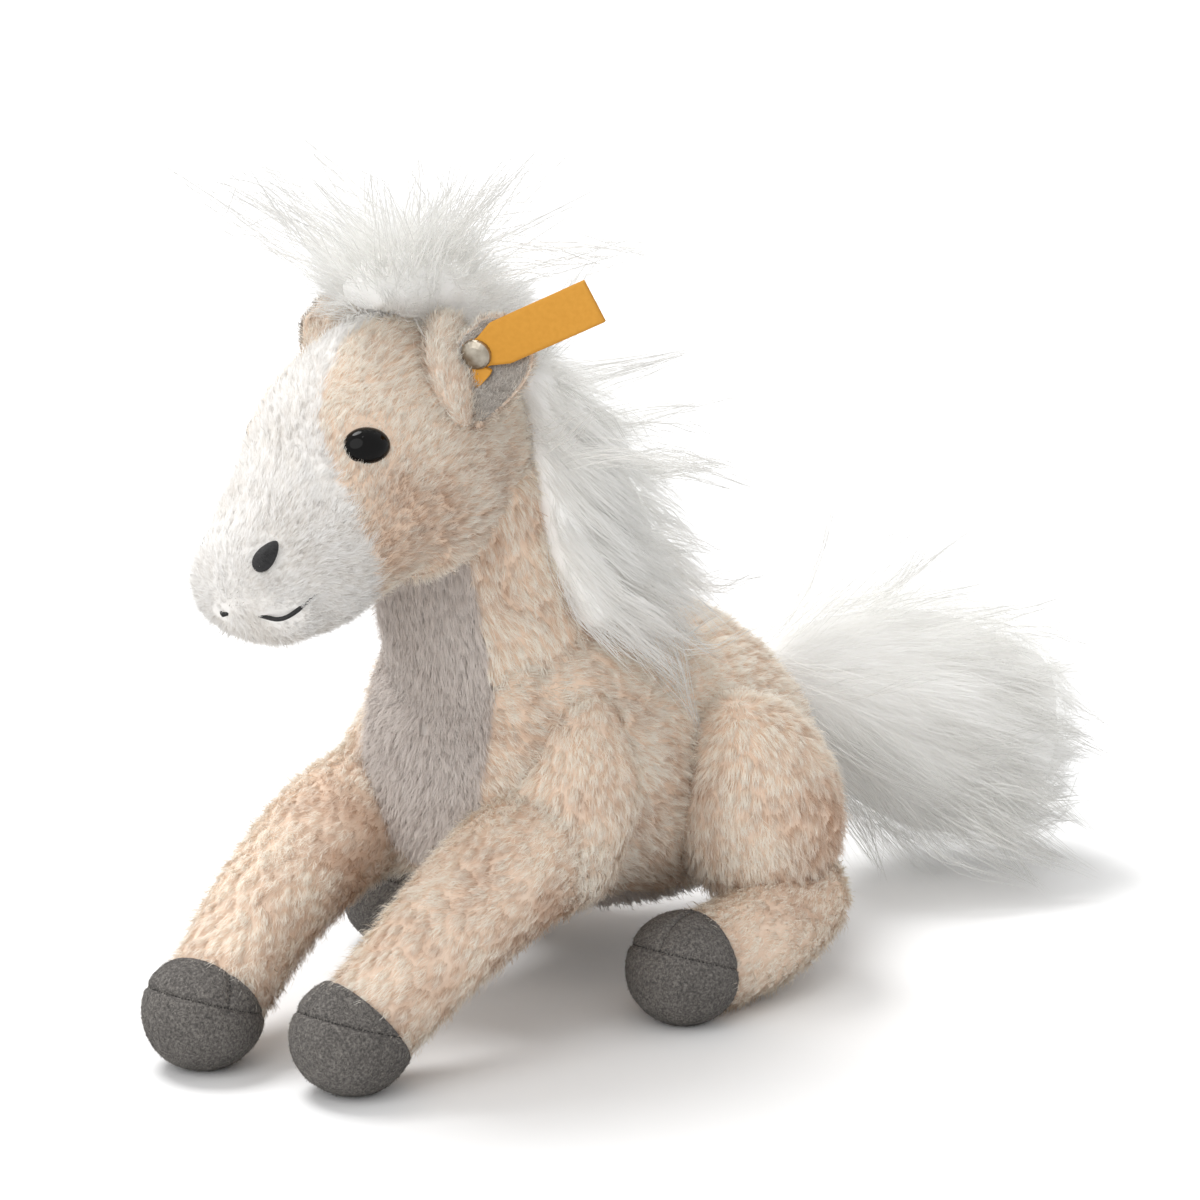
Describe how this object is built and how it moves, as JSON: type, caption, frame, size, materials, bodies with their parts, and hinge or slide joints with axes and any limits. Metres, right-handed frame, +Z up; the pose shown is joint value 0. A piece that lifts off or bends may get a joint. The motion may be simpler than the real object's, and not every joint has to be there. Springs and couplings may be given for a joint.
{
  "type": "plush horse",
  "caption": "Soft plush horse lying down, with long-haired mane and tail, jointed legs, head, ears and tail.",
  "frame": {"origin": "middle of the toy's outline, on the floor that it lies on", "axes": "+Z up, the toy faces -Y, its left side is +X"},
  "size_m": [0.1224, 0.2808, 0.1954],
  "materials": {
    "tan_plush": "tan two-tone plush pile",
    "white_plush": "white plush pile",
    "bib_plush": "grey-white short plush pile",
    "long_hair": "long white synthetic hair",
    "hoof_suede": "dark grey suede-like fabric",
    "eye_black": "polished black plastic",
    "stitch_black": "black embroidery thread",
    "lining_grey": "short grey nap",
    "button_metal": "plain pewter-coloured metal",
    "ribbon_yellow": "plain woven yellow ribbon",
    "washer_white": "plain white plastic"
  },
  "bodies": {
    "torso": {"torso": "tan_plush", "neck": "tan_plush", "chest_panel": "bib_plush", "belly_panel": "white_plush", "mane": "long_hair"},
    "head": {"head": "tan_plush", "muzzle": "white_plush", "blaze_panel": "white_plush", "forelock": "long_hair", "eye_left": "eye_black", "eye_right": "eye_black", "eye_washer_left": "washer_white", "eye_washer_right": "washer_white", "nostril_left": "stitch_black", "nostril_right": "stitch_black", "mouth_stitch": "stitch_black"},
    "ear_left": {"ear_left": "tan_plush", "ear_lining_left": "lining_grey", "ear_button": "button_metal", "ear_button_back": "button_metal"},
    "ear_right": {"ear_right": "tan_plush", "ear_lining_right": "lining_grey"},
    "ribbon": {"ribbon_tag": "ribbon_yellow"},
    "front_leg_left": {"front_leg_left": "tan_plush", "front_hoof_left_sole": "hoof_suede", "front_hoof_left_upper": "hoof_suede"},
    "front_leg_right": {"front_leg_right": "tan_plush", "front_hoof_right_sole": "hoof_suede", "front_hoof_right_upper": "hoof_suede"},
    "hind_leg_left": {"thigh_left": "tan_plush", "shank_left": "tan_plush", "hind_hoof_left_sole": "hoof_suede", "hind_hoof_left_upper": "hoof_suede"},
    "hind_leg_right": {"thigh_right": "tan_plush", "shank_right": "tan_plush", "hind_hoof_right_sole": "hoof_suede", "hind_hoof_right_upper": "hoof_suede"},
    "tail": {"tail": "long_hair"}
  },
  "joints": [
    {"name": "head_turn", "type": "hinge", "parent": "torso", "child": "head", "pos_m": [0, -0.062, 0.128], "axis": [0, -0.3271, 0.945], "range_deg": [-25, 25]},
    {"name": "ear_left_fold", "type": "hinge", "parent": "head", "child": "ear_left", "pos_m": [0.0185, -0.078, 0.1555], "axis": [0.6359, 0.4348, -0.6376], "range_deg": [-15, 15]},
    {"name": "ear_right_fold", "type": "hinge", "parent": "head", "child": "ear_right", "pos_m": [-0.0185, -0.078, 0.1555], "axis": [0.6359, -0.4348, 0.6376], "range_deg": [-15, 15]},
    {"name": "ribbon_swivel", "type": "hinge", "parent": "ear_left", "child": "ribbon", "pos_m": [0.02336, -0.07712, 0.16095], "axis": [0.3988, -0.8925, -0.2109], "range_deg": [-20, 20]},
    {"name": "shoulder_left", "type": "hinge", "parent": "torso", "child": "front_leg_left", "pos_m": [0.0265, -0.059, 0.045], "axis": [1, 0, 0], "range_deg": [-8, 35]},
    {"name": "shoulder_right", "type": "hinge", "parent": "torso", "child": "front_leg_right", "pos_m": [-0.0265, -0.059, 0.045], "axis": [1, 0, 0], "range_deg": [-8, 35]},
    {"name": "hip_left", "type": "hinge", "parent": "torso", "child": "hind_leg_left", "pos_m": [0.037, 0.003, 0.0425], "axis": [1, 0, 0], "range_deg": [-5, 40]},
    {"name": "hip_right", "type": "hinge", "parent": "torso", "child": "hind_leg_right", "pos_m": [-0.037, 0.003, 0.0425], "axis": [1, 0, 0], "range_deg": [-5, 40]},
    {"name": "tail_lift", "type": "hinge", "parent": "torso", "child": "tail", "pos_m": [0, 0.051, 0.06], "axis": [1, 0, 0], "range_deg": [-8, 40]}
  ]
}
